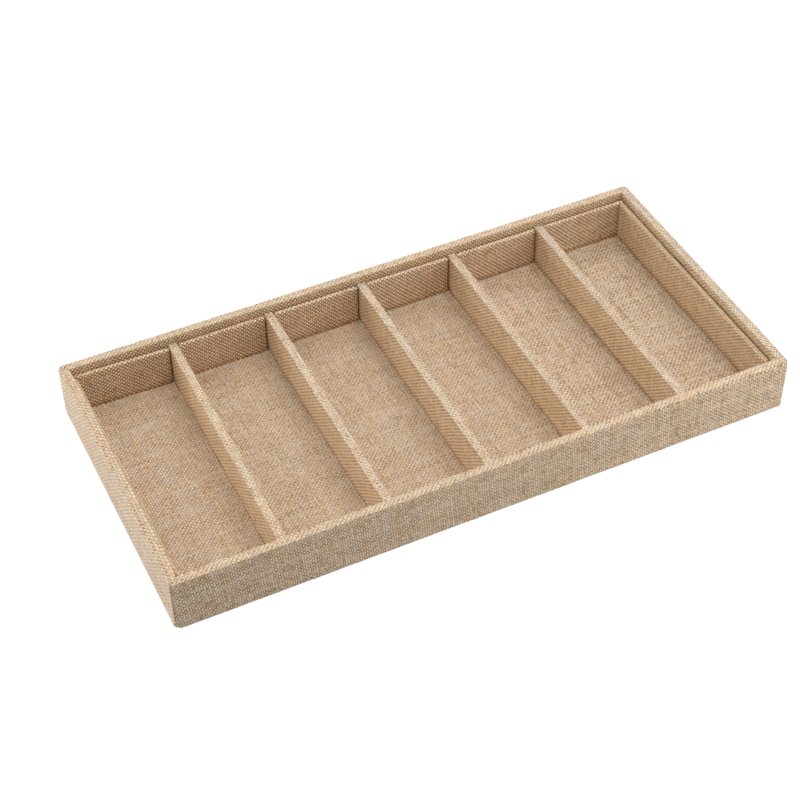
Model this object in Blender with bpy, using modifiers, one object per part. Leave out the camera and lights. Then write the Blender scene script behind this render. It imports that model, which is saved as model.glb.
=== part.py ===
"""Sunglasses tray: a shallow board box covered in linen-look cloth, with six bays between five dividers.

Units are metres and +Z is up. The origin lies on the table under the middle of the tray,
+X runs along its length, and its front long side faces -Y.
"""
import math

import bmesh
import bpy

MM = 0.001

# Outside size, over the cloth
LENGTH = 380 * MM
DEPTH = 185 * MM
HEIGHT = 35 * MM

# Sheets and boards
CLOTH = 0.5 * MM
WALL_BOARD = 4.0 * MM
BASE_BOARD = 2.0 * MM
LINER_CARD = 0.8 * MM
DIVIDER_BOARD = 3.5 * MM
BACKING_SHEET = 0.3 * MM

# Gap kept between pieces that touch or are glued together
CLEARANCE = 0.3 * MM

# Rounding of the boards under the cloth
BOARD_CORNER_RADIUS = 1.7 * MM
WALL_EDGE_RADIUS = 0.7 * MM
BASE_EDGE_RADIUS = 1.2 * MM
DIVIDER_EDGE_RADIUS = 0.5 * MM

# Outer wrap and the sheet that covers its raw edge underneath
INNER_CORNER_RADIUS = 0.6 * MM
WRAP_TURN_IN = 14 * MM
BACKING_MARGIN = 4 * MM

# Inside
BAYS = 6
RIM_STEP = 4.3 * MM
LINER_TURN_IN = 10 * MM
SIDE_LINER_GAP = 1.5 * MM
RIGHT_LINER_GAP = 1.9 * MM
LEFT_LINER_GAP = CLEARANCE
LINER_END_GAP = 0.5 * MM
DIVIDER_END_GAP = 0.8 * MM

# Each divider is set by hand, a fraction of a degree off square, and so is the first back liner card
DIVIDER_TURNS = [math.radians(degrees) for degrees in (-0.60, -0.43, -0.08, -0.10, 0.17)]
FIRST_BACK_CARD_TURN = math.radians(-1.9)

# Cloth on a board, and the folds that it makes round the board's rounded edges
SKIN = CLOTH + CLEARANCE
CORNER_RADIUS = BOARD_CORNER_RADIUS + SKIN
RIM_FOLD = WALL_EDGE_RADIUS + SKIN
FOOT_FOLD = BASE_EDGE_RADIUS + SKIN
DIVIDER_FOLD = DIVIDER_EDGE_RADIUS + SKIN

# Levels, from the table up
WRAP_LOW = BACKING_SHEET + CLEARANCE
BASE_LOW = WRAP_LOW + SKIN
BASE_TOP = BASE_LOW + BASE_BOARD
WALL_LOW = BASE_TOP + CLEARANCE
WALL_TOP = HEIGHT - SKIN
FLOOR = BASE_TOP + SKIN
INSERT_LOW = FLOOR + CLEARANCE
INSERT_TOP = HEIGHT - RIM_STEP

# Plan sizes, measured from the middle of the tray
RIM_WIDTH = WALL_BOARD + 2 * SKIN
HALF_LENGTH = LENGTH / 2
HALF_DEPTH = DEPTH / 2
INNER_X = HALF_LENGTH - RIM_WIDTH
INNER_Y = HALF_DEPTH - RIM_WIDTH
LINER_THICKNESS = LINER_CARD + 2 * SKIN
SIDE_CARD_Y = INNER_Y - SIDE_LINER_GAP - LINER_THICKNESS / 2
DIVIDER_THICKNESS = DIVIDER_BOARD + 2 * SKIN
DIVIDER_LENGTH = 2 * (INNER_Y - DIVIDER_END_GAP)
BAY_PITCH = 2 * INNER_X / BAYS

# Facets in each quarter-round fold
FOLD_STEPS = 4

NATURAL_LINEN = (0.60, 0.49, 0.36, 1.0)
FIBREBOARD = (0.42, 0.29, 0.17, 1.0)
GREY_CARD = (0.45, 0.42, 0.37, 1.0)
PALE_BACKING = (0.62, 0.55, 0.45, 1.0)


def clear_scene():
    for old in list(bpy.data.objects):
        bpy.data.objects.remove(old, do_unlink=True)


def make_collection(name):
    collection = bpy.data.collections.new(name)
    bpy.context.scene.collection.children.link(collection)
    return collection


def add_material(part, colour, roughness):
    """Gives the part its own plain material."""
    material = bpy.data.materials.new(part.name)
    material.use_nodes = True
    shader = material.node_tree.nodes["Principled BSDF"]
    shader.inputs["Base Color"].default_value = colour
    shader.inputs["Roughness"].default_value = roughness
    shader.inputs["Metallic"].default_value = 0.0
    part.data.materials.append(material)


def part_from_bmesh(name, bm, collection, colour, roughness):
    bmesh.ops.recalc_face_normals(bm, faces=bm.faces)
    mesh = bpy.data.meshes.new(name)
    bm.to_mesh(mesh)
    bm.free()
    part = bpy.data.objects.new(name, mesh)
    collection.objects.link(part)
    add_material(part, colour, roughness)
    return part


def add_bevel(part, width):
    bevel = part.modifiers.new("soft edges", "BEVEL")
    bevel.width = width
    bevel.segments = FOLD_STEPS
    bevel.limit_method = "ANGLE"
    bevel.angle_limit = math.radians(40)


def add_cloth_thickness(part):
    """Thickens an outer surface inwards, to the cloth's own thickness."""
    solidify = part.modifiers.new("cloth", "SOLIDIFY")
    solidify.thickness = CLOTH
    solidify.offset = -1.0
    solidify.use_even_offset = True
    solidify.use_rim = True


def box(name, size, centre, collection, colour, roughness=0.85):
    bm = bmesh.new()
    bmesh.ops.create_cube(bm, size=1.0)
    bmesh.ops.scale(bm, vec=size, verts=bm.verts)
    part = part_from_bmesh(name, bm, collection, colour, roughness)
    part.location = centre
    return part


def corner_arc(centre_x, centre_z, radius, start, end):
    """Points of a fold, seen from the side, from angle start to angle end in degrees."""
    points = []
    for step in range(FOLD_STEPS + 1):
        angle = math.radians(start + (end - start) * step / FOLD_STEPS)
        points.append((centre_x + radius * math.cos(angle), centre_z + radius * math.sin(angle)))
    return points


def rounded_rectangle(half_x, half_y, radius):
    """Points round a rectangle with rounded corners, anticlockwise from the right-hand side."""
    points = []
    for quarter, (side_x, side_y) in enumerate(((1, 1), (-1, 1), (-1, -1), (1, -1))):
        centre_x = side_x * (half_x - radius)
        centre_y = side_y * (half_y - radius)
        points += corner_arc(centre_x, centre_y, radius, 90 * quarter, 90 * quarter + 90)
    return points


def outer_wrap_profile():
    """Side view of the wrap's outer surface, as (inset from the outside, height), from underside to inside."""
    rim_high = HEIGHT - RIM_FOLD
    profile = [(WRAP_TURN_IN, WRAP_LOW)]
    profile += corner_arc(FOOT_FOLD, WRAP_LOW + FOOT_FOLD, FOOT_FOLD, 270, 180)
    profile += corner_arc(RIM_FOLD, rim_high, RIM_FOLD, 180, 90)
    profile += corner_arc(RIM_WIDTH - RIM_FOLD, rim_high, RIM_FOLD, 90, 0)
    profile.append((RIM_WIDTH, WALL_LOW))
    return profile


def make_outer_cloth_wrap(collection):
    """One strip round the walls, lofted through rounded rectangles."""
    bm = bmesh.new()
    rings = []
    for inset, height in outer_wrap_profile():
        radius = max(CORNER_RADIUS - inset, INNER_CORNER_RADIUS)
        outline = rounded_rectangle(HALF_LENGTH - inset, HALF_DEPTH - inset, radius)
        rings.append([bm.verts.new((x, y, height)) for x, y in outline])
    for lower, upper in zip(rings, rings[1:]):
        count = len(lower)
        for i in range(count):
            j = (i + 1) % count
            bm.faces.new((lower[i], lower[j], upper[j], upper[i]))
    wrap = part_from_bmesh("outer_cloth_wrap", bm, collection, NATURAL_LINEN, 0.95)
    add_cloth_thickness(wrap)
    wrap.data.shade_smooth()
    wrap.data.set_sharp_from_angle(angle=math.radians(50))
    return wrap


def round_edges(board, radius, is_wanted):
    """Rounds the board's edges whose two ends both pass the test."""
    bm = bmesh.new()
    bm.from_mesh(board.data)
    edges = [edge for edge in bm.edges if all(is_wanted(vert.co) for vert in edge.verts)]
    bmesh.ops.bevel(bm, geom=edges, offset=radius, segments=FOLD_STEPS, profile=0.5, affect="EDGES")
    bm.to_mesh(board.data)
    bm.free()


def round_upright_corners(board, radius, is_wanted):
    """Rounds the upright edges of a plain box that stand where the test says."""
    bm = bmesh.new()
    bm.from_mesh(board.data)
    edges = []
    for edge in bm.edges:
        first, second = (vert.co for vert in edge.verts)
        if first.xy == second.xy and is_wanted(first):
            edges.append(edge)
    bmesh.ops.bevel(bm, geom=edges, offset=radius, segments=FOLD_STEPS, profile=0.5, affect="EDGES")
    bm.to_mesh(board.data)
    bm.free()


def make_base(collection):
    """Base board with its lower edge rounded, the sheet under it and the cloth on it."""
    base = box(
        "base_board",
        (LENGTH - 2 * SKIN, DEPTH - 2 * SKIN, BASE_BOARD),
        (0, 0, (BASE_LOW + BASE_TOP) / 2),
        collection,
        FIBREBOARD,
    )
    round_upright_corners(base, BOARD_CORNER_RADIUS, lambda corner: True)
    round_edges(base, BASE_EDGE_RADIUS, lambda corner: corner.z < 0)
    box(
        "backing_sheet",
        (LENGTH - 2 * BACKING_MARGIN, DEPTH - 2 * BACKING_MARGIN, BACKING_SHEET),
        (0, 0, BACKING_SHEET / 2),
        collection,
        PALE_BACKING,
    )
    box(
        "floor_cloth",
        (2 * (INNER_X - CLEARANCE), 2 * (INNER_Y - CLEARANCE), CLOTH),
        (0, 0, FLOOR - CLOTH / 2),
        collection,
        NATURAL_LINEN,
        0.95,
    )


def make_walls(collection):
    """Front and back boards run full length, and the end boards stand between them."""
    height = WALL_TOP - WALL_LOW
    middle = (WALL_TOP + WALL_LOW) / 2
    long_board = LENGTH - 2 * SKIN
    end_board = DEPTH - 2 * (SKIN + WALL_BOARD + CLEARANCE)
    offset_y = HALF_DEPTH - SKIN - WALL_BOARD / 2
    offset_x = HALF_LENGTH - SKIN - WALL_BOARD / 2
    for name, side in (("front", -1), ("back", 1)):
        board = box(
            name + "_wall_board",
            (long_board, WALL_BOARD, height),
            (0, side * offset_y, middle),
            collection,
            FIBREBOARD,
        )
        round_upright_corners(board, BOARD_CORNER_RADIUS, lambda corner: corner.y * side > 0)
        round_edges(board, WALL_EDGE_RADIUS, lambda corner: corner.z > 0)
    for name, side in (("left", -1), ("right", 1)):
        board = box(
            name + "_wall_board",
            (WALL_BOARD, end_board, height),
            (side * offset_x, 0, middle),
            collection,
            FIBREBOARD,
        )
        round_edges(board, WALL_EDGE_RADIUS, lambda corner: corner.z > 0)


def make_liner(name, length, centre, turn, facing, collection):
    """A card and the cloth folded over its top edge; facing is 1 where its good face looks along local +Y."""
    card_low = INSERT_LOW
    card_top = INSERT_TOP - SKIN
    card = box(
        name[0] + "_card" + name[1],
        (length, LINER_CARD, card_top - card_low),
        (centre[0], centre[1], (card_low + card_top) / 2),
        collection,
        GREY_CARD,
    )
    card.rotation_euler.z = turn

    profile = [(-LINER_THICKNESS / 2, card_low)]
    profile += corner_arc(-LINER_CARD / 2, card_top, SKIN, 180, 90)
    profile += corner_arc(LINER_CARD / 2, card_top, SKIN, 90, 0)
    profile.append((LINER_THICKNESS / 2, INSERT_TOP - LINER_TURN_IN))
    bm = bmesh.new()
    rows = []
    for x in (-length / 2, length / 2):
        rows.append([bm.verts.new((x, -facing * y, z)) for y, z in profile])
    for i in range(len(profile) - 1):
        bm.faces.new((rows[0][i], rows[1][i], rows[1][i + 1], rows[0][i + 1]))
    cloth = part_from_bmesh(name[0] + "_cloth" + name[1], bm, collection, NATURAL_LINEN, 0.95)
    cloth.location = (centre[0], centre[1], 0)
    cloth.rotation_euler.z = turn
    add_cloth_thickness(cloth)
    cloth.data.shade_smooth()
    return card, cloth


def divider_place(index):
    """Middle of divider 1 to 5 along X."""
    return (index - BAYS / 2) * BAY_PITCH


def divider_turn(index):
    return DIVIDER_TURNS[(index - 1) % len(DIVIDER_TURNS)]


def divider_side(index, y, side):
    """X of a divider's left (-1) or right (1) face at depth y; 0 and 6 stand for the two walls."""
    if index == 0:
        return -INNER_X
    if index == BAYS:
        return INNER_X
    turn = divider_turn(index)
    return divider_place(index) - math.tan(turn) * y + side * DIVIDER_THICKNESS / 2 / math.cos(turn)


def make_side_liners(collection):
    """One front and one back liner card for each bay."""
    for row, side in (("front", -1), ("back", 1)):
        y = side * SIDE_CARD_Y
        for bay in range(1, BAYS + 1):
            low = divider_side(bay - 1, y, 1) + LINER_END_GAP
            high = divider_side(bay, y, -1) - LINER_END_GAP
            turn = FIRST_BACK_CARD_TURN if (row, bay) == ("back", 1) else 0.0
            make_liner((row + "_liner", f"_{bay}"), high - low, ((low + high) / 2, y), turn, -side, collection)


def make_end_liners(collection):
    """One full-depth card inside each end wall, between the front and back cards."""
    length = 2 * (SIDE_CARD_Y - LINER_THICKNESS / 2 - LINER_END_GAP)
    turn = math.radians(90)
    for name, side, gap in (("left", -1, LEFT_LINER_GAP), ("right", 1, RIGHT_LINER_GAP)):
        x = INNER_X - gap - LINER_THICKNESS / 2
        make_liner((name + "_liner", ""), length, (side * x, 0), turn, side, collection)


def make_divider(index, collection):
    """A board in a cloth pocket that is open at its foot; both hang from one empty, which lifts them."""
    length = DIVIDER_LENGTH
    height = INSERT_TOP - INSERT_LOW
    lift = bpy.data.objects.new(f"divider_{index}_lift", None)
    lift.location = (divider_place(index), 0, INSERT_LOW)
    lift.rotation_euler.z = divider_turn(index)
    collection.objects.link(lift)

    board = box(
        f"divider_{index}_board",
        (DIVIDER_BOARD, length - 2 * SKIN, height - SKIN),
        (0, 0, (height - SKIN) / 2),
        collection,
        FIBREBOARD,
    )
    board.parent = lift
    add_bevel(board, DIVIDER_EDGE_RADIUS)

    bm = bmesh.new()
    bmesh.ops.create_cube(bm, size=1.0)
    bmesh.ops.scale(bm, vec=(DIVIDER_THICKNESS, length, height), verts=bm.verts)
    bmesh.ops.translate(bm, vec=(0, 0, height / 2), verts=bm.verts)
    foot = [face for face in bm.faces if face.normal.z < -0.5]
    bmesh.ops.delete(bm, geom=foot, context="FACES_ONLY")
    cloth = part_from_bmesh(f"divider_{index}_cloth", bm, collection, NATURAL_LINEN, 0.95)
    cloth.parent = lift
    add_bevel(cloth, DIVIDER_FOLD)
    add_cloth_thickness(cloth)
    cloth.data.shade_smooth()


def main():
    clear_scene()
    tray = make_collection("sunglasses_tray")
    make_base(tray)
    make_walls(tray)
    make_outer_cloth_wrap(tray)
    make_side_liners(tray)
    make_end_liners(tray)
    for index in range(1, BAYS):
        make_divider(index, tray)


main()
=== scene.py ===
import math

import bmesh
import bpy
from mathutils import Matrix, Vector, noise


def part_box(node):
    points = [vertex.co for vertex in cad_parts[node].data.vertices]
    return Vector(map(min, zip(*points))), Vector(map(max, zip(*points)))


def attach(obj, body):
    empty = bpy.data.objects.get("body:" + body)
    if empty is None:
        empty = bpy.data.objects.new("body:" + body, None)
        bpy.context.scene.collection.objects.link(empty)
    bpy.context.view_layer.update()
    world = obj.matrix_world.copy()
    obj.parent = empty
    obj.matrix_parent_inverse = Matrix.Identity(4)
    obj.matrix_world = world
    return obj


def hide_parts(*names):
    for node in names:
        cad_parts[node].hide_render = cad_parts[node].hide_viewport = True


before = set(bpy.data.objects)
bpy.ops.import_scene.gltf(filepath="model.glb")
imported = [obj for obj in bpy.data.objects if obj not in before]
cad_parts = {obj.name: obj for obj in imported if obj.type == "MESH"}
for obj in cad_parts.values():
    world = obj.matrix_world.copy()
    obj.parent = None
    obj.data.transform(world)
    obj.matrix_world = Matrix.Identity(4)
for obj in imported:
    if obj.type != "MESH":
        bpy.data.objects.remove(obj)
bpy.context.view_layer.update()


# Boards
# A base board, four wall boards and five loose divider boards make the tray stiff.
# They are sawn from medium-density fibreboard, brown pressed fibre with darker flecks.
# Cloth covers all of them; only the feet of the dividers show, when they are lifted out.

MM = 0.001


def new_material(name, roughness, specular):
    """A material and its shader, with the one roughness and gloss level that hold all over it."""
    material = bpy.data.materials.new(name)
    material.use_nodes = True
    shader = material.node_tree.nodes["Principled BSDF"]
    shader.inputs["Roughness"].default_value = roughness
    shader.inputs["Specular IOR Level"].default_value = specular
    return material, shader


def join(tree, value, socket):
    """Links an output to a socket, or writes a plain number there."""
    if isinstance(value, bpy.types.NodeSocket):
        tree.links.new(value, socket)
    else:
        socket.default_value = value


def maths(tree, kind, *values):
    """The result of one Math node on numbers or outputs."""
    node = tree.nodes.new("ShaderNodeMath")
    node.operation = kind
    for socket, value in zip(node.inputs, values):
        join(tree, value, socket)
    return node.outputs[0]


def grain(tree, place, scale, detail=2.0, roughness=0.5, dimensions="3D"):
    """A noise pattern's value at a place, from 0 to 1 with its middle at 0.5."""
    node = tree.nodes.new("ShaderNodeTexNoise")
    node.noise_dimensions = dimensions
    join(tree, place, node.inputs["Vector"])
    join(tree, scale, node.inputs["Scale"])
    node.inputs["Detail"].default_value = detail
    node.inputs["Roughness"].default_value = roughness
    return node.outputs["Fac"]


def tint(tree, share, stops):
    """A colour ramp: each stop is a place from 0 to 1 and a linear colour."""
    node = tree.nodes.new("ShaderNodeValToRGB")
    join(tree, share, node.inputs["Fac"])
    marks = node.color_ramp.elements
    while len(marks) < len(stops):
        marks.new(0.5)
    for mark, (place, colour) in zip(marks, stops):
        mark.position = place
        mark.color = (*colour, 1.0)
    return node.outputs["Color"]


def relief(tree, shader, height, depth):
    """Raises a pattern from the surface by a bump of that depth in metres."""
    node = tree.nodes.new("ShaderNodeBump")
    node.inputs["Distance"].default_value = depth
    tree.links.new(height, node.inputs["Height"])
    tree.links.new(node.outputs["Normal"], shader.inputs["Normal"])


def new_group(name, inputs, outputs):
    """An empty node group with named sockets, its input node and its output node."""
    group = bpy.data.node_groups.new(name, "ShaderNodeTree")
    for way, sockets in (("INPUT", inputs), ("OUTPUT", outputs)):
        for label, kind in sockets:
            group.interface.new_socket(label, in_out=way, socket_type="NodeSocket" + kind)
    return group, group.nodes.new("NodeGroupInput"), group.nodes.new("NodeGroupOutput")


def place_group(tree, group, **values):
    """Puts a node group in a material, with a value or an output for each named input."""
    node = tree.nodes.new("ShaderNodeGroup")
    node.node_tree = group
    for label, value in values.items():
        join(tree, value, node.inputs[label.replace("_", " ")])
    return node


def make_pressed_fibre():
    """The flecks of pressed or pulped fibre, for board, card and paper alike."""
    group, start, end = new_group(
        "pressed_fibre",
        [("Place", "Vector"), ("Flecks per metre", "Float")],
        [("Fleck", "Float"), ("Cloud", "Float"), ("Height", "Float")],
    )
    place, density = start.outputs["Place"], start.outputs["Flecks per metre"]
    fine = grain(group, place, density, detail=4.0, roughness=0.7)
    sparse = grain(group, place, maths(group, "MULTIPLY", density, 0.35), detail=3.0)
    cloud = grain(group, place, maths(group, "MULTIPLY", density, 0.05), detail=3.0)
    dark = maths(group, "MULTIPLY", maths(group, "GREATER_THAN", sparse, 0.62), 0.35)
    fleck = maths(group, "SUBTRACT", fine, dark)
    for label, value in (("Fleck", fleck), ("Cloud", cloud), ("Height", fine)):
        group.links.new(value, end.inputs[label])
    return group


pressed_fibre = make_pressed_fibre()


def make_fibrous(name, flecks, roughness, depth, stops):
    """A matte fibrous material on the part's own coordinates."""
    material, shader = new_material(name, roughness, 0.2)
    tree = material.node_tree
    place = tree.nodes.new("ShaderNodeTexCoord").outputs["Object"]
    fibre = place_group(tree, pressed_fibre, Place=place, Flecks_per_metre=flecks)
    mix = maths(tree, "MULTIPLY_ADD", fibre.outputs["Cloud"], 0.5, -0.25)
    share = maths(tree, "ADD", fibre.outputs["Fleck"], mix)
    tree.links.new(tint(tree, share, stops), shader.inputs["Base Color"])
    relief(tree, shader, fibre.outputs["Height"], depth)
    return material


def give_material(name, material):
    """Puts a material on a CAD node that stays."""
    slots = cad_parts[name].data.materials
    slots.clear()
    slots.append(material)


fibreboard = make_fibrous(
    "raw_fibreboard",
    flecks=1300,
    roughness=0.85,
    depth=0.15 * MM,
    stops=[(0.1, (0.14, 0.08, 0.04)), (0.45, (0.36, 0.24, 0.135)), (0.85, (0.56, 0.42, 0.27))],
)
wall_boards = [f"{side}_wall_board" for side in ("front", "back", "left", "right")]
for board in ["base_board", *wall_boards, *(f"divider_{number}_board" for number in range(1, 6))]:
    give_material(board, fibreboard)


# Backing sheet
# Brown kraft paper pasted under the base board, over the turned-in edge of the cloth.
# It has the soft clouds and loose darker fibres of unbleached pulp.

kraft_paper = make_fibrous(
    "kraft_paper",
    flecks=900,
    roughness=0.9,
    depth=0.04 * MM,
    stops=[(0.1, (0.34, 0.25, 0.16)), (0.5, (0.58, 0.46, 0.32)), (0.9, (0.68, 0.57, 0.43))],
)
give_material("backing_sheet", kraft_paper)


# Liner cards
# Strips of grey card stand against the four walls, one between each pair of dividers.
# The card is recycled pulp, and shows only at its feet and low down on its back.

grey_card = make_fibrous(
    "grey_card",
    flecks=1100,
    roughness=0.9,
    depth=0.06 * MM,
    stops=[(0.1, (0.22, 0.205, 0.18)), (0.5, (0.44, 0.41, 0.36)), (0.9, (0.57, 0.54, 0.49))],
)
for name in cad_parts:
    if "liner_card" in name:
        give_material(name, grey_card)


# Linen cloth and the outer wrap
# One strip of plain-woven linen-look cloth goes round the four walls. It is glued up the outside,
# over the rim and down the inside, and turned in under the base, with a mitred fold at each corner.
# The yarn is uneven, cream and ochre mixed, about 18 threads to the inch both ways.

PLAIN = (1.0, 1.0, 1.0)
OCHRE_DYE, GREY_DYE = (1.0, 0.923, 0.70), (0.85, 0.923, 1.0)
# The yarn's colours, from its darkest stretches to its palest
YARN = [
    (0.0, (0.40, 0.25, 0.13)),
    (0.3, (0.63, 0.443, 0.277)),
    (0.5, (0.79, 0.59, 0.405)),
    (0.72, (0.92, 0.717, 0.525)),
    (1.0, (1.0, 0.80, 0.605)),
]
LENGTHWISE_PITCH = 1.41 * MM
CROSSWISE_PITCH = 1.34 * MM


def make_plain_weave():
    """A plain weave: each thread passes over one thread and under the next."""
    group, start, end = new_group(
        "plain_weave",
        [("Weave", "Vector"), ("Contrast", "Float"), ("Twist", "Float")],
        [(label, "Float") for label in ("Tone", "Dye", "Crevice", "Height", "Fuzz")],
    )
    weave = start.outputs["Weave"]

    def run(kind, *values):
        return maths(group, kind, *values)

    def spot(first, second):
        node = group.nodes.new("ShaderNodeCombineXYZ")
        join(group, first, node.inputs[0])
        join(group, second, node.inputs[1])
        return node.outputs[0]

    def centred(value, amount):
        return run("MULTIPLY", run("SUBTRACT", value, 0.5), amount)

    parts = group.nodes.new("ShaderNodeSeparateXYZ")
    group.links.new(weave, parts.inputs[0])
    wander = grain(group, weave, 22.0, detail=1.0, dimensions="2D")
    sway = grain(group, spot(parts.outputs[1], parts.outputs[0]), 31.0, detail=1.0, dimensions="2D")
    across = run("ADD", run("DIVIDE", parts.outputs[0], LENGTHWISE_PITCH), centred(wander, 0.9))
    along = run("ADD", run("DIVIDE", parts.outputs[1], CROSSWISE_PITCH), centred(sway, 0.9))
    column, row = run("FLOOR", across), run("FLOOR", along)
    beside = run("SUBTRACT", run("SUBTRACT", across, column), 0.5)
    beyond = run("SUBTRACT", run("SUBTRACT", along, row), 0.5)
    odd = run("FLOORED_MODULO", run("ADD", column, row), 2.0)
    turn = run("SUBTRACT", 1.0, run("MULTIPLY", odd, 2.0))

    def thread(number, way, off, over, offset, shift):
        """Height, tone, fuzz and dye of one set of threads. Way runs along the thread and off across
        it. Over is the place within a crossing, then 1 where the thread is on top and -1 where it
        goes under."""
        at = spot(run("MULTIPLY", way, 0.11), run("MULTIPLY_ADD", number, 7.31, offset))
        slow = grain(group, at, 1.0, detail=3.0, roughness=0.62, dimensions="2D")
        own = group.nodes.new("ShaderNodeTexWhiteNoise")
        own.noise_dimensions = "1D"
        join(group, run("ADD", number, offset), own.inputs["W"])
        thick = grain(group, at, 2.7, detail=1.0, dimensions="2D")
        half = run("MULTIPLY_ADD", thick, 0.22, 0.34)
        side = run("DIVIDE", off, half)
        round_top = run("SUBTRACT", 0.5, run("MULTIPLY", run("MULTIPLY", side, side), 0.5))
        wave = run("MULTIPLY", run("COSINE", run("MULTIPLY", over[0], math.pi)), 0.5)
        height = run("MULTIPLY_ADD", wave, over[1], round_top)
        slub = spot(run("MULTIPLY", way, 0.8), run("MULTIPLY_ADD", number, 3.17, offset))
        slub = grain(group, slub, 1.0, detail=1.0, dimensions="2D")
        tone = run("ADD", centred(slow, 0.85), centred(own.outputs["Value"], 0.22))
        tone = run("ADD", run("ADD", tone, centred(slub, 0.8)), shift)
        vat = spot(run("MULTIPLY", way, 0.045), run("MULTIPLY_ADD", number, 5.3, 2 * offset))
        dye = grain(group, vat, 1.0, detail=2.0, roughness=0.6, dimensions="2D")
        dye = run("ADD", dye, centred(own.outputs["Value"], 0.12))
        strand = run("MULTIPLY_ADD", off, 7.0, run("MULTIPLY", number, 3.7))
        hair = spot(run("MULTIPLY", way, 0.9), strand)
        fuzz = grain(group, hair, 1.6, detail=3.0, roughness=0.7, dimensions="2D")
        return height, tone, fuzz, dye

    back = run("MULTIPLY", turn, -1.0)
    paler, darker = start.outputs["Contrast"], run("MULTIPLY", start.outputs["Contrast"], -1.0)
    upright = thread(column, along, beside, (beyond, turn), 11.7, paler)
    level = thread(row, across, beyond, (beside, back), 53.1, darker)
    lead = run("SUBTRACT", upright[0], level[0])
    on_top = group.nodes.new("ShaderNodeMath")
    on_top.operation = "MULTIPLY_ADD"
    on_top.use_clamp = True
    join(group, lead, on_top.inputs[0])
    on_top.inputs[1].default_value = 5.0
    on_top.inputs[2].default_value = 0.5

    def chosen(first, second):
        node = group.nodes.new("ShaderNodeMix")
        join(group, on_top.outputs[0], node.inputs["Factor"])
        join(group, second, node.inputs["A"])
        join(group, first, node.inputs["B"])
        return node.outputs["Result"]

    height = run("MAXIMUM", upright[0], level[0])
    fuzz = chosen(upright[2], level[2])
    patch = grain(group, weave, 110.0, detail=3.0, roughness=0.6, dimensions="2D")
    tone = run("ADD", chosen(upright[1], level[1]), run("ADD", centred(patch, 0.12), centred(fuzz, 0.5)))
    twist = run("MULTIPLY", run("MULTIPLY", beside, beyond), turn)
    tone = run("MULTIPLY_ADD", twist, start.outputs["Twist"], tone)
    # Painted shade: the crevice darkens the colour where the threads sink and between them. Proud adds
    # the contrast to it, so the level threads get more of this painted shade than the upright ones on top
    proud = run("MULTIPLY", centred(on_top.outputs[0], 1.6), start.outputs["Contrast"])
    crevice = group.nodes.new("ShaderNodeMapRange")
    crevice.interpolation_type = "SMOOTHSTEP"
    join(group, run("ADD", height, proud), crevice.inputs["Value"])
    crevice.inputs["From Min"].default_value = -0.15
    crevice.inputs["From Max"].default_value = 0.85
    full = run("ADD", height, run("MULTIPLY", fuzz, 0.3))
    results = (("Tone", run("ADD", tone, 0.5)), ("Crevice", crevice.outputs["Result"]))
    dye = run("ADD", run("MULTIPLY", run("ADD", upright[3], level[3]), 0.5), centred(patch, 0.4))
    for label, value in (*results, ("Dye", dye), ("Height", full), ("Fuzz", fuzz)):
        group.links.new(value, end.inputs[label])
    return group


plain_weave = make_plain_weave()


def zone(edges, contrast=0.0, uneven=0.0, colour=PLAIN):
    """A place where the cloth looks a little different, often by painted light or shade. Each edge is an
    axis, of the weave map or of the piece, and the two places in millimetres between which the zone sets
    in. What it changes: the contrast between the two sets of threads, which also sets how much painted
    shade the lower set gets, the unevenness of the yarn, and the colour."""
    return edges, contrast, uneven, colour


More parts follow.
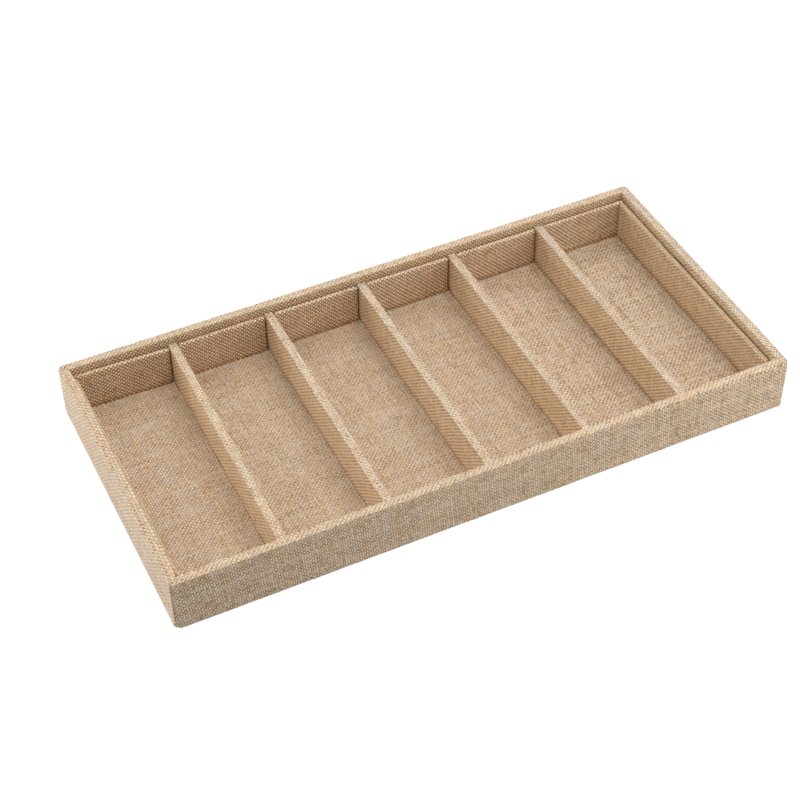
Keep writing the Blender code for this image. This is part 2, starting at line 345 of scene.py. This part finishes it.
def make_linen(name, contrast, twist, gap, depth, piece_tint, zones):
    """The cloth's material, on each piece's own weave map in metres. Gap is the colour of the shade
    painted between the threads, depth their relief, and bath one tint over the whole piece."""
    material, shader = new_material(name, 0.65, 0.5)
    shader.inputs["Sheen Weight"].default_value = 0.1
    shader.inputs["Sheen Roughness"].default_value = 0.5
    tree = material.node_tree
    place = tree.nodes.new("ShaderNodeUVMap")
    place.uv_map = "weave"
    body = tree.nodes.new("ShaderNodeTexCoord")
    axes = {}
    for source, labels in ((place.outputs["UV"], "uv"), (body.outputs["Object"], "xyz")):
        parts = tree.nodes.new("ShaderNodeSeparateXYZ")
        tree.links.new(source, parts.inputs[0])
        axes.update(zip(labels, parts.outputs))
    shares, spread = [], 1.0
    for edges, more_contrast, more_uneven, _ in zones:
        share = 1.0
        for axis, first, last in edges:
            ramp = tree.nodes.new("ShaderNodeMapRange")
            tree.links.new(axes[axis], ramp.inputs["Value"])
            ramp.inputs["From Min"].default_value = first * MM
            ramp.inputs["From Max"].default_value = last * MM
            share = maths(tree, "MULTIPLY", share, ramp.outputs["Result"])
        shares.append(share)
        contrast = maths(tree, "MULTIPLY_ADD", share, more_contrast, contrast)
        spread = maths(tree, "MULTIPLY_ADD", share, more_uneven, spread)
    contrast, twist = (maths(tree, "DIVIDE", value, spread) for value in (contrast, twist))
    weave = place_group(tree, plain_weave, Weave=place.outputs["UV"], Contrast=contrast, Twist=twist)
    tone = maths(tree, "SUBTRACT", weave.outputs["Tone"], 0.5)
    yarn = tint(tree, maths(tree, "MULTIPLY_ADD", tone, spread, 0.5), YARN)
    # Painted shade between the threads: the crevice ramps the colour down to the gap colour
    shade = tint(tree, weave.outputs["Crevice"], [(0.0, gap), (1.0, PLAIN)])
    ends = [tuple(a * b for a, b in zip(vat, piece_tint)) for vat in (OCHRE_DYE, GREY_DYE)]
    dye = tint(tree, weave.outputs["Dye"], [(0.2, ends[0]), (0.8, ends[1])])

    def times(first, second):
        blend = tree.nodes.new("ShaderNodeMix")
        blend.data_type = "RGBA"
        blend.blend_type = "MULTIPLY"
        blend.inputs["Factor"].default_value = 1.0
        tree.links.new(first, blend.inputs["A"])
        tree.links.new(second, blend.inputs["B"])
        return blend.outputs["Result"]

    colour = times(times(yarn, dye), shade)
    for share, (*_, zone_colour) in zip(shares, zones):
        colour = times(colour, tint(tree, share, [(0.0, PLAIN), (1.0, zone_colour)]))
    tree.links.new(colour, shader.inputs["Base Color"])
    rough = maths(tree, "MULTIPLY_ADD", weave.outputs["Fuzz"], 0.3, 0.48)
    tree.links.new(rough, shader.inputs["Roughness"])
    relief(tree, shader, weave.outputs["Height"], depth)
    return material


# Painted light and shade on the strip: inside the walls it is painted brighter and yellower, as light
# bounced in the tray, with stronger painted light and shade on its threads, and darker with less
# contrast at the right end, as shade there. The left side is painted paler and cooler, as the light
# from the left. The front is painted darker at its left end and brighter towards its right. The right
# rim is a little darker and bluer. The strip has one dark thread on the left rim, and its yarn is more
# uneven on the front, most of all at the right
INSIDE_PAINTED_LIGHT = zone([("v", 40.3, 40.9)], contrast=0.18, colour=(1.22, 1.16, 1.04))
INSIDE_RIGHT_PAINTED_SHADE = zone([("v", 40.3, 40.9), ("x", 183, 184)], contrast=-0.24, colour=(0.935, 0.95, 0.946))
LEFT_SIDE_PAINTED_LIGHT = zone([("x", -189.4, -189.8)], contrast=-0.09, colour=(1.14, 1.165, 1.21))
LEFT_RIM_THREAD = zone(
    [("x", -184.5, -185.5), ("v", 36.5, 36.8), ("v", 37.3, 37.0)],
    contrast=0.18,
    uneven=0.3,
    colour=(0.88, 0.80, 0.68),
)
RIGHT_RIM = zone([("z", 34.3, 34.8), ("x", 183, 185)], contrast=0.05, colour=(0.94, 0.97, 1.01))
FRONT_FACE = ("y", -92.0, -92.3)
FRONT = zone([FRONT_FACE], contrast=0.02, uneven=0.3)
FRONT_LEFT_YARN_AND_SHADE = zone([FRONT_FACE, ("x", -80, -190)], contrast=0.03, uneven=0.25, colour=(0.91, 0.90, 0.86))
FRONT_RIGHT_YARN_AND_LIGHT = zone([FRONT_FACE, ("x", 20, 170)], contrast=0.12, uneven=0.55, colour=(1.07, 1.05, 1.03))
wrap_linen = make_linen(
    "wrap_linen",
    contrast=0.16,
    twist=1.1,
    gap=(0.44, 0.31, 0.20),
    depth=0.4 * MM,
    piece_tint=(0.88, 0.90, 0.955),
    zones=[
        INSIDE_PAINTED_LIGHT, INSIDE_RIGHT_PAINTED_SHADE, LEFT_SIDE_PAINTED_LIGHT, LEFT_RIM_THREAD, RIGHT_RIM, FRONT, FRONT_LEFT_YARN_AND_SHADE, FRONT_RIGHT_YARN_AND_LIGHT,
    ],
)
CLOTH = 0.5 * MM


def cut_cloth(columns, rows):
    """A flat cut of cloth: a grid of corners, each with its column and row."""
    cloth = bmesh.new()
    bmesh.ops.create_grid(cloth, x_segments=columns, y_segments=rows, size=0.5)
    return cloth, {
        corner: (round((corner.co.x + 0.5) * columns), round((corner.co.y + 0.5) * rows))
        for corner in cloth.verts
    }


def ripple(place, size, depth):
    """Unevenness of glued cloth: a smooth rise and fall of that depth over that size."""
    return noise.noise(Vector(place) / size) * depth


def finish_cloth(name, cloth, linen, body):
    """Makes the cloth a piece of that thickness, which stands for the CAD node of its name."""
    mesh = bpy.data.meshes.new(name + "_weave")
    cloth.to_mesh(mesh)
    cloth.free()
    mesh.shade_smooth()
    mesh.materials.append(linen)
    piece = bpy.data.objects.new(name + "_weave", mesh)
    bpy.context.scene.collection.objects.link(piece)
    thickness = piece.modifiers.new("cloth_thickness", "SOLIDIFY")
    thickness.thickness = CLOTH
    thickness.offset = -1.0
    thickness.use_even_offset = True
    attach(piece, body)
    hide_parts(name)


def fold(middle, radius, first, last, steps=6):
    """Rows round a fold, as inset and height; 0 degrees is level inwards, and 90 is straight up."""
    angles = [math.radians(first + (last - first) * step / steps) for step in range(steps + 1)]
    return [(middle[0] + radius * math.cos(a), middle[1] + radius * math.sin(a)) for a in angles]


# Heights, widths and edge radii of the strip's line, in millimetres
UNDERSIDE, FLOOR_TOP, RIM_TOP = 0.12, 4.0, 35.0
RIM_WIDTH, FOOT_EDGE, RIM_EDGE, INNER_EDGE = 5.6, 0.5, 0.7, 0.6


def make_wrap_rows(edge, inner):
    """The strip's line from its turned-in edge, up the outside, over the rim and down the inside, as
    inset and height. Edge is the radius of the rim's outer edge, and inner the rim's width."""
    foot, top, shoulder = UNDERSIDE + FOOT_EDGE, RIM_TOP - edge, RIM_TOP - INNER_EDGE
    turned_in = [(14, 0.46), (11, 0.46), (8, 0.46), (6, 0.45), (5, 0.4), (4, 0.28), (3, 0.17)]
    turned_in += [(2, UNDERSIDE), (1.2, UNDERSIDE)]
    outside = [(0.0, foot + (top - foot) * step / 13) for step in range(1, 13)]
    rim = [(inset, RIM_TOP) for inset in (2.0, 3.0, 4.0)]
    inside = [(inner, shoulder - (shoulder - FLOOR_TOP) * step / 9) for step in range(1, 10)]
    rows = turned_in + fold((FOOT_EDGE, foot), FOOT_EDGE, 270, 180) + outside
    rows += fold((edge, top), edge, 180, 90) + rim
    rows += fold((inner - INNER_EDGE, shoulder), INNER_EDGE, 90, 0) + inside
    return [(inset * MM, height * MM) for inset, height in rows]


HALF_LENGTH, HALF_DEPTH = 190 * MM, 92.5 * MM
# Each side's direction along it and outwards, then half its length and how far out it stands
SIDES = [
    (Vector((1, 0, 0)), Vector((0, -1, 0)), HALF_LENGTH, HALF_DEPTH),
    (Vector((0, 1, 0)), Vector((1, 0, 0)), HALF_DEPTH, HALF_LENGTH),
    (Vector((-1, 0, 0)), Vector((0, 1, 0)), HALF_LENGTH, HALF_DEPTH),
    (Vector((0, -1, 0)), Vector((-1, 0, 0)), HALF_DEPTH, HALF_LENGTH),
]
MITRE = 45.0
CORNER_RADIUS = 2 * MM
COLUMN_WIDTH = 4.2 * MM
CRISP_EDGE, SOFT_EDGE = 0.4, 1.5


def at_front_left(side, share):
    """Whether a column lies on the half of the front or of the left side next to their corner."""
    return (side, share < 0) in ((0, True), (3, False))


def corner_radius(height, front_left):
    """The upright corners are tighter half way up than at the rim and the foot."""
    rim, foot = max(0.0, (height / MM - 25) / 10), max(0.0, (9 - height / MM) / 9)
    return CORNER_RADIUS + (rim**2 + (2.4 if front_left else 0.8) * foot**2) * MM


def rim_edge(side, share):
    """Radius of the rim's outer edge in millimetres: crisp at the front left, soft at the front right."""
    if side == 0:
        return CRISP_EDGE + (SOFT_EDGE - CRISP_EDGE) * ((1 + share) / 2) ** 2.5
    at_corner = RIM_EDGE
    if side == 1 and share < 0:
        at_corner = SOFT_EDGE
    if side == 3 and share >= 0:
        at_corner = CRISP_EDGE
    from_end = (1 - abs(share)) * SIDES[side][2] / MM
    return RIM_EDGE + (at_corner - RIM_EDGE) * math.exp(-from_end / 15)


def rim_width(side, share):
    """Width of the rim in millimetres: the cloth stands a little off the wall on the left."""
    from_end = (1 - abs(share)) * SIDES[side][2] / MM
    return RIM_WIDTH + (0.8 * min(1.0, from_end / 9) if side == 3 else 0.0)


def make_wrap_columns():
    """Columns of the strip as side, share along its straight part, and degrees round the corner."""
    columns = []
    for side, (_, _, half, _) in enumerate(SIDES):
        straight = half - CORNER_RADIUS
        ends = [-1 + step * MM / straight for step in (0, 0.5, 1.2, 2.2, 3.6, 5.6, 8.6)]
        reach = -ends[-1]
        middle = round(2 * reach * straight / COLUMN_WIDTH)
        shares = ends + [-reach + 2 * reach * step / middle for step in range(1, middle)]
        shares += [-share for share in reversed(ends)]
        columns += [(side, -1.0, degrees) for degrees in (-MITRE, -34, -22, -11)]
        columns += [(side, share, 0.0) for share in shares]
        columns += [(side, 1.0, degrees) for degrees in (11, 22, 34, MITRE)]
    return columns


def wrap_place(column, row):
    """Where a column of the strip lies along its side and out from the middle, before any unevenness."""
    side, share, degrees = column
    inset, height = row
    _, _, half, out = SIDES[side]
    radius = max(corner_radius(height, at_front_left(side, share)) - inset, 0.6 * MM)
    turn = math.radians(abs(degrees))
    along = share * (half - inset - radius) + math.copysign(radius * math.sin(turn), degrees)
    return along, out - inset - radius * (1 - math.cos(turn))


MITRE_CREASE, MITRE_STEP, FOOT_SWELL = 0.3, 0.12, 0.35


def wrap_unevenness(side, share, place, row, from_end, along):
    """Millimetres that the glued cloth stands off its line: along its own normal, and outwards."""
    inset, height = row
    crease = -MITRE_CREASE * math.exp(-((from_end / (0.5 * MM)) ** 2))
    step = math.copysign(MITRE_STEP, along) * math.exp(-from_end / (2.5 * MM))
    on_rim = min(1.0, inset / (RIM_EDGE * MM))
    lift = (crease + step) * max(on_rim, 1.0 if at_front_left(side, share) else 0.0)
    lift += ripple(place, 16 * MM, 0.12) + ripple(place + Vector((1, 2, 3)), 5 * MM, 0.05)
    if height < 1 * MM:
        lift = min(lift, 0.05)
    swell = FOOT_SWELL * math.exp(-((height / (2.2 * MM)) ** 2))
    if side:
        front_end = (side, along > 0) in ((1, False), (3, True))
        swell *= math.exp(-from_end / (8 * MM)) if front_end else 0.0
    return lift, swell


BACK_HOLLOW = 0.28 * MM
CORNER_SAVING = 1.2 * MM
WRAP_LEAN = 0.07


def make_outer_wrap():
    """The strip with its weave map, and its cut width. The back is a little hollow, the strip runs
    shorter round each corner than along square sides, and its weave leans a little."""
    rows, columns = make_wrap_rows(RIM_EDGE, RIM_WIDTH), make_wrap_columns()
    lines = [
        make_wrap_rows(rim_edge(side, share), rim_width(side, share))
        for side, share, _ in columns
    ]
    cloth, spots = cut_cloth(len(columns) - 1, len(rows) - 1)
    girth = [0.0]
    for before, after in zip(rows, rows[1:]):
        girth.append(girth[-1] + math.dist(before, after))
    foot = next(row for row in rows if row[0] < 1e-7)
    level = girth[rows.index(foot)] - foot[1]
    starts = [0.0]
    for side in range(3):
        starts.append(starts[-1] + SIDES[side][2] + SIDES[side + 1][2] - CORNER_SAVING)
    flat_place = {}
    for corner, (number, line) in spots.items():
        side, share, degrees = columns[number]
        along_side, outward, half, _ = SIDES[side]
        own = lines[number]
        along, out = wrap_place(columns[number], own[line])
        ahead, behind = own[min(line + 1, len(own) - 1)], own[max(line - 1, 0)]
        lean = Vector((ahead[0] - behind[0], ahead[1] - behind[1])).normalized()
        bend = math.radians(degrees)
        facing = outward * math.cos(bend) + along_side * math.sin(bend)
        normal = facing * lean.y + Vector((0, 0, 1)) * lean.x
        place = along_side * along + outward * out + Vector((0, 0, own[line][1]))
        end = math.copysign(1.0, share)
        mitre = wrap_place((side, end, end * MITRE), own[line])[0]
        from_end = abs(mitre) - abs(along)
        lift, swell = wrap_unevenness(side, share, place, own[line], from_end, along)
        hollow = BACK_HOLLOW * max(0.0, 1 - (along / half) ** 2) if side == 2 else 0.0
        corner.co = place - outward * hollow + (normal * lift + facing * swell) * MM
        flat_place[corner] = (starts[side] + along, girth[line] - level)
    weave = cloth.loops.layers.uv.new("weave")
    for face in cloth.faces:
        for loop in face.loops:
            along, up = flat_place[loop.vert]
            loop[weave].uv = (along + WRAP_LEAN * up, up)
    return cloth, girth[-1]


outer_wrap, wrap_girth = make_outer_wrap()
finish_cloth(
    "outer_cloth_wrap",
    outer_wrap,
    wrap_linen,
    "tray",
)


# Floor cloth
# One piece of the same cloth is glued flat on the base board, from wall to wall.
# The dividers stand on it, and it shows at the bottom of every bay.

# Its yarn is more uneven towards the right, and the last bay is painted a little darker, as shade there
RIGHT_END = zone([("x", 10, 180)], contrast=0.07, uneven=0.6)
LAST_BAY_PAINTED_SHADE = zone([("x", 120, 150)], colour=(0.962, 0.975, 0.975))
floor_linen = make_linen(
    "floor_linen",
    contrast=0.11,
    twist=0.2,
    gap=(0.37, 0.25, 0.15),
    depth=0.5 * MM,
    piece_tint=(0.99, 1.01, 1.11),
    zones=[RIGHT_END, LAST_BAY_PAINTED_SHADE],
)


FLOOR_LEAN, FLOOR_SHIFT = 0.0493, (0.7, 0.3)


def make_floor_cloth():
    """The cloth with its weave map, which leans a little, and its cut size."""
    low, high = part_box("floor_cloth")
    size = high - low
    columns, rows = 92, 44
    cloth, spots = cut_cloth(columns, rows)
    weave = cloth.loops.layers.uv.new("weave")
    for corner, (column, row) in spots.items():
        place = Vector((low.x + size.x * column / columns, low.y + size.y * row / rows, high.z))
        place.z += (ripple(place, 22 * MM, 0.1) + ripple(place, 7 * MM, 0.04) - 0.02) * MM
        corner.co = place
    for face in cloth.faces:
        for loop in face.loops:
            place = loop.vert.co
            loop[weave].uv = (place.x + FLOOR_LEAN * place.y + FLOOR_SHIFT[0], place.y + FLOOR_SHIFT[1])
    return cloth, (size.x, size.y)


floor_cloth, floor_size = make_floor_cloth()
finish_cloth(
    "floor_cloth",
    floor_cloth,
    floor_linen,
    "tray",
)


# Liner cloths
# Each grey card is dressed in its own piece of the cloth, folded over its top edge.
# The long leg faces the bay, and the short one is turned in behind the card.
# The dressed cards stand loose, a little proud of the walls, so a dark gap shows behind their tops.

INSERT_LOW, INSERT_TOP = 4.25 * MM, 30.7 * MM
LINER_THICKNESS, LINER_EDGE, TURN_IN = 2.7 * MM, 1.2 * MM, 10 * MM
# The cards are painted paler at the foot, as light there, and on the sides their threads stand out more
# than on the tops, with stronger painted light and shade on them. In the last bay they get the floor's
# painted shade
FOOT_PAINTED_LIGHT = zone([("z", 9.0, 4.5)], colour=(1.15, 1.14, 1.12))
LINER_SIDE_PAINTED_LIGHT_AND_SHADE = zone([("z", 30.75, 30.35)], contrast=0.40, uneven=0.8, colour=(1.0, 0.99, 0.95))
liner_linen = make_linen(
    "liner_linen",
    contrast=0.12,
    twist=0.9,
    gap=(0.46, 0.22, 0.09),
    depth=0.36 * MM,
    piece_tint=(1.0, 1.01, 1.07),
    zones=[LINER_SIDE_PAINTED_LIGHT_AND_SHADE, FOOT_PAINTED_LIGHT, RIGHT_END, LAST_BAY_PAINTED_SHADE],
)
# The tops of the end cards: the right one is painted darker, as shade below the rim, and the left one
# is paler and bluer
RIGHT_TOP_PAINTED_SHADE = zone([("z", 30.1, 30.6), ("x", 0, 1)], contrast=-0.1, colour=(0.84, 0.86, 0.90))
LEFT_TOP = zone([("z", 30.1, 30.6), ("x", 0, -1)], contrast=-0.1, colour=(1.05, 1.07, 1.15))
end_linen = make_linen(
    "end_linen",
    contrast=0.22,
    twist=0.4,
    gap=(0.46, 0.32, 0.20),
    depth=0.4 * MM,
    piece_tint=(0.94, 0.90, 0.82),
    zones=[RIGHT_TOP_PAINTED_SHADE, LEFT_TOP, FOOT_PAINTED_LIGHT],
)


def make_sleeve(length, thickness, radius, short_leg=None):
    """Cloth folded over a board's top and round its ends, along X, with its long leg towards -Y."""
    sleeve = bmesh.new()
    bmesh.ops.create_cube(sleeve, size=1.0)
    bmesh.ops.scale(sleeve, vec=(length, thickness, INSERT_TOP - INSERT_LOW), verts=sleeve.verts)
    bmesh.ops.translate(sleeve, vec=(0, 0, (INSERT_TOP + INSERT_LOW) / 2), verts=sleeve.verts)
    foot = [face for face in sleeve.faces if face.normal.z < -0.9]
    bmesh.ops.delete(sleeve, geom=foot, context="FACES_ONLY")
    edges = [edge for edge in sleeve.edges if len(edge.link_faces) == 2]
    bmesh.ops.bevel(
        sleeve,
        geom=edges,
        offset=radius,
        offset_type="OFFSET",
        segments=4,
        profile=0.5,
        affect="EDGES",
        material=-1,
    )
    reach = length / 2 - radius - 1 * MM
    cuts = max(2, round(2 * reach / (4 * MM)))
    planes = [((-reach + 2 * reach * cut / cuts, 0, 0), (1, 0, 0)) for cut in range(cuts + 1)]
    heights = [8 * MM, 12 * MM, 16.5 * MM, INSERT_TOP - TURN_IN, 24.5 * MM, 27.6 * MM]
    planes += [((0, 0, height), (0, 0, 1)) for height in heights] + [((0, 0, 0), (0, 1, 0))]
    for point, normal in planes:
        everything = sleeve.verts[:] + sleeve.edges[:] + sleeve.faces[:]
        bmesh.ops.bisect_plane(sleeve, geom=everything, dist=1e-7, plane_co=point, plane_no=normal)
    if short_leg:
        below = INSERT_TOP - short_leg
        hidden = [
            face
            for face in sleeve.faces
            if face.normal.y > 0.5 and face.calc_center_median().z < below
        ]
        bmesh.ops.delete(sleeve, geom=hidden, context="FACES")
    return sleeve


def lay_weave(sleeve, length, thickness, radius, lean, shift):
    """Maps the sleeve to its flat cut: X along it, and the girth over the fold across it."""
    weave = sleeve.loops.layers.uv.new("weave")
    flat_top, shoulder = thickness / 2 - radius, INSERT_TOP - radius
    for face in sleeve.faces:
        middle = face.calc_center_median()
        for loop in face.loops:
            x, y, z = loop.vert.co
            if z <= shoulder:
                over = flat_top + radius * math.pi / 2 + shoulder - z
            else:
                over = min(abs(y), flat_top)
                over += radius * math.atan2(max(abs(y) - flat_top, 0), z - shoulder + 1e-9)
            if abs(face.normal.x) > 0.7:
                x = math.copysign(length / 2 + 0.5 * radius + thickness / 2 - abs(y), x)
            over = math.copysign(over, middle.y)
            loop[weave].uv = (x - lean * over + shift[0], over + shift[1])


ROLL_STEP = (0.137, 0.0713)


def dress(
    name, linen, length, thickness, radius, place, turn, body, lean, number, short_leg=None
):
    """Makes one sleeve, lays its weave and puts it over its board or card. Lean is how far the weave
    runs askew, and number the place on the roll that the piece was cut from."""
    sleeve = make_sleeve(length, thickness, radius, short_leg)
    shift = [step * number for step in ROLL_STEP]
    lay_weave(sleeve, length, thickness, radius, lean, shift)
    sleeve.normal_update()
    moved = Matrix.Translation(place) @ Matrix.Rotation(turn, 4, "Z")
    offsets = {}
    for corner in sleeve.verts:
        spot = moved @ corner.co
        up = max(0.0, (corner.co.z - INSERT_LOW) / (INSERT_TOP - INSERT_LOW))
        lift = ripple(spot, 14 * MM, 0.13) + ripple(spot, 5 * MM, 0.05)
        sway = ripple((spot.x, spot.y, 0.0), 45 * MM, 0.22) * up
        offsets[corner] = corner.normal * lift * MM + Vector((0, sway * MM, 0))
    for corner, offset in offsets.items():
        corner.co += offset
    bmesh.ops.transform(sleeve, matrix=moved, verts=sleeve.verts)
    finish_cloth(name, sleeve, linen, body)


INNER_X, BACK_CARD_Y, FRONT_CARD_Y = 184.4 * MM, 83.85 * MM, -84.6 * MM
FIRST_BACK_CARD_STEP = 0.2 * MM
BAY_PITCH = 2 * INNER_X / 6
DIVIDER_THICKNESS = 5.3 * MM
DIVIDER_TURNS = [math.radians(degrees) for degrees in (-0.60, -0.43, -0.08, -0.10, 0.17)]
FIRST_BACK_CARD_TURN = math.radians(-1.9)
END_GAP, CORNER_GAP = 0.5 * MM, 1.7 * MM


def divider_face(number, y, side):
    """X of a divider's face at y; number 0 and 6 are the end walls."""
    if number in (0, 6):
        return math.copysign(INNER_X, number - 3)
    turn = DIVIDER_TURNS[number - 1]
    return (number - 3) * BAY_PITCH - math.tan(turn) * y + side * DIVIDER_THICKNESS / 2 / math.cos(turn)


for bay in range(1, 7):
    back_y = BACK_CARD_Y + (FIRST_BACK_CARD_STEP if bay == 1 else 0.0)
    for side, y, facing in (("back", back_y, 0.0), ("front", FRONT_CARD_Y, math.pi)):
        corner = (side, bay) == ("back", 1)
        left = divider_face(bay - 1, y, 1) + (CORNER_GAP if corner else END_GAP)
        right = divider_face(bay, y, -1) - END_GAP
        dress(
            f"{side}_liner_cloth_{bay}",
            liner_linen,
            right - left,
            LINER_THICKNESS,
            LINER_EDGE,
            Vector(((left + right) / 2, y, 0)),
            facing + (FIRST_BACK_CARD_TURN if corner else 0.0),
            "tray",
            lean=0.08,
            number=bay + (10 if side == "front" else 0),
            short_leg=TURN_IN,
        )
END_LINER_LENGTH = 165 * MM
# Each end's X, thickness, fold radius and place on the roll
END_LINERS = [
    ("left", -182.6 * MM, 2.0 * MM, 0.9 * MM, 20),
    ("right", 181.75 * MM, 3.6 * MM, 1.25 * MM, 21),
]
for side, x, thickness, radius, number in END_LINERS:
    dress(
        f"{side}_liner_cloth",
        end_linen,
        END_LINER_LENGTH,
        thickness,
        radius,
        Vector((x, 0, 0)),
        math.copysign(math.pi / 2, -x),
        "tray",
        lean=0.05,
        number=number,
        short_leg=TURN_IN,
    )


# Dividers
# Five boards dressed in the same cloth stand across the tray on the floor cloth, held by the liners.
# Each is a loose slip that lifts straight out. The cloth is folded over the top and round both ends.

DIVIDER_LENGTH, DIVIDER_EDGE = 172.2 * MM, 0.5 * MM
ROW_SHIFT_RIGHT = 0.2 * MM
# The sides are painted yellower than the tops, as light bounced onto them, with stronger painted light
# and shade on their threads. The first one's sides get painted light, paler, and the tops darken
# towards the right
DIVIDER_SIDE_PAINTED_LIGHT = zone([("z", 30.6, 29.8)], contrast=0.11, colour=(1.12, 1.025, 0.86))
FIRST_SIDE_PAINTED_LIGHT = zone([("z", 30.6, 29.8), ("x", -90, -125)], contrast=-0.03, colour=(1.06, 1.07, 1.05))
DIVIDER_TOP = zone([("z", 30.1, 30.6), ("x", -130, 125)], colour=(0.93, 0.945, 1.0))
divider_linen = make_linen(
    "divider_linen",
    contrast=0.13,
    twist=0.6,
    gap=(0.48, 0.33, 0.20),
    depth=0.42 * MM,
    piece_tint=(0.92, 0.955, 1.04),
    zones=[DIVIDER_SIDE_PAINTED_LIGHT, FIRST_SIDE_PAINTED_LIGHT, DIVIDER_TOP, FOOT_PAINTED_LIGHT],
)
for number in range(1, 6):
    dress(
        f"divider_{number}_cloth",
        divider_linen,
        DIVIDER_LENGTH,
        DIVIDER_THICKNESS,
        DIVIDER_EDGE,
        Vector(((number - 3) * BAY_PITCH + ROW_SHIFT_RIGHT, 0, 0)),
        math.pi / 2 + DIVIDER_TURNS[number - 1],
        f"divider_{number}",
        lean=0.03,
        number=30 + number,
    )


# Floor and lights
# A white sweep that keeps a faint shadow of the tray, and soft boxes all round it, as for a plain
# catalogue photograph: the key from the front right and above, low ones that light the left side.

FLOOR_DROP = 0.1 * MM


def make_stage():
    """A sweep a hair below the backing sheet: white where it is seen, and pale paint in its light."""
    floor = bmesh.new()
    bmesh.ops.create_grid(floor, x_segments=4, y_segments=4, size=4.0)
    bmesh.ops.translate(floor, vec=(0, 0, -FLOOR_DROP), verts=floor.verts)
    mesh = bpy.data.meshes.new("stage_floor")
    floor.to_mesh(mesh)
    floor.free()
    material, shader = new_material("white_sweep", 0.9, 0.0)
    shader.inputs["Base Color"].default_value = (0.82, 0.82, 0.82, 1.0)
    tree = material.node_tree
    seen = tree.nodes.new("ShaderNodeLightPath")
    soft = tree.nodes.new("ShaderNodeBsdfDiffuse")
    soft.inputs["Color"].default_value = (0.14, 0.14, 0.14, 1.0)
    glow = tree.nodes.new("ShaderNodeEmission")
    glow.inputs["Strength"].default_value = 0.9
    both = tree.nodes.new("ShaderNodeAddShader")
    tree.links.new(soft.outputs[0], both.inputs[0])
    tree.links.new(glow.outputs[0], both.inputs[1])
    direct = maths(tree, "MAXIMUM", seen.outputs["Is Camera Ray"], seen.outputs["Is Glossy Ray"])
    direct = maths(tree, "MAXIMUM", direct, seen.outputs["Is Transmission Ray"])
    choice = tree.nodes.new("ShaderNodeMixShader")
    tree.links.new(direct, choice.inputs[0])
    tree.links.new(shader.outputs[0], choice.inputs[1])
    tree.links.new(both.outputs[0], choice.inputs[2])
    tree.links.new(choice.outputs[0], tree.nodes["Material Output"].inputs["Surface"])
    mesh.materials.append(material)
    stage = bpy.data.objects.new("stage_floor", mesh)
    bpy.context.scene.collection.objects.link(stage)


make_stage()


def add_lamp(name, heading, height, distance, size, level, target=(0, 0, 0.02)):
    """A square soft box, degrees round from the front and up, that gives its target that light level."""
    around, up = math.radians(heading), math.radians(height)
    away = Vector((math.sin(around) * math.cos(up), -math.cos(around) * math.cos(up), math.sin(up)))
    light = bpy.data.lights.new(name, "AREA")
    light.size = size
    light.energy = level * math.pi**2 * distance**2
    lamp = bpy.data.objects.new(name, light)
    lamp.location = Vector(target) + away * distance
    lamp.rotation_euler = (-away).to_track_quat("-Z", "Y").to_euler()
    bpy.context.scene.collection.objects.link(lamp)


add_lamp("key_softbox", 45, 65, 1.4, 0.9, 0.32)
add_lamp("front_softbox", 0, 70, 1.4, 0.9, 0.25)
add_lamp("back_right_softbox", 135, 45, 1.4, 0.9, 0.46)
add_lamp("left_softbox", 270, 40, 1.4, 0.9, 0.31)
add_lamp("high_left_softbox", 270, 70, 1.4, 0.9, 0.12)
add_lamp("low_back_left_softbox", 225, 15, 1.4, 0.9, 0.57)
add_lamp("near_front_softbox", 28, 20, 0.5, 0.3, 0.29, target=(0.16, -0.06, 0.02))
add_lamp("near_right_softbox", 60, 35, 0.7, 0.35, 0.24, target=(0.15, 0, 0.02))

# The studio round it is white where the camera or a reflection sees it, and gives no light itself
world = bpy.data.worlds.new("studio")
world.use_nodes = True
bpy.context.scene.world = world
ambient = world.node_tree.nodes["Background"]
path = world.node_tree.nodes.new("ShaderNodeLightPath")
shown = maths(world.node_tree, "MAXIMUM", path.outputs["Is Camera Ray"], path.outputs["Is Glossy Ray"])
shown = maths(world.node_tree, "MAXIMUM", shown, path.outputs["Is Transmission Ray"])
world.node_tree.links.new(shown, ambient.inputs["Strength"])
ambient.inputs["Color"].default_value = (1.0, 1.0, 1.0, 1.0)


# Camera
# It looks down at 44 degrees from the front left, with the long lens that the straight edges ask for.

def add_camera():
    """A 36 mm wide sensor, turned to its heading, downwards, and a little out of level."""
    heading, height, roll = math.radians(24.777), math.radians(44.18), math.radians(1.235)
    place = (-0.33861, -0.70196, 0.76376)
    forward = Vector((
        math.sin(heading) * math.cos(height),
        math.cos(heading) * math.cos(height),
        -math.sin(height),
    ))
    level = Vector((math.cos(heading), -math.sin(heading), 0))
    upward = level.cross(forward)
    right = level * math.cos(roll) - upward * math.sin(roll)
    upward = right.cross(forward)
    lens = bpy.data.cameras.new("catalogue_camera")
    lens.sensor_width = 36.0
    lens.lens = 83.23
    camera = bpy.data.objects.new("catalogue_camera", lens)
    camera.matrix_world = Matrix((
        (right.x, upward.x, -forward.x, place[0]),
        (right.y, upward.y, -forward.y, place[1]),
        (right.z, upward.z, -forward.z, place[2]),
        (0, 0, 0, 1),
    ))
    bpy.context.scene.collection.objects.link(camera)
    bpy.context.scene.camera = camera


add_camera()
bpy.context.scene.view_settings.view_transform = "Standard"
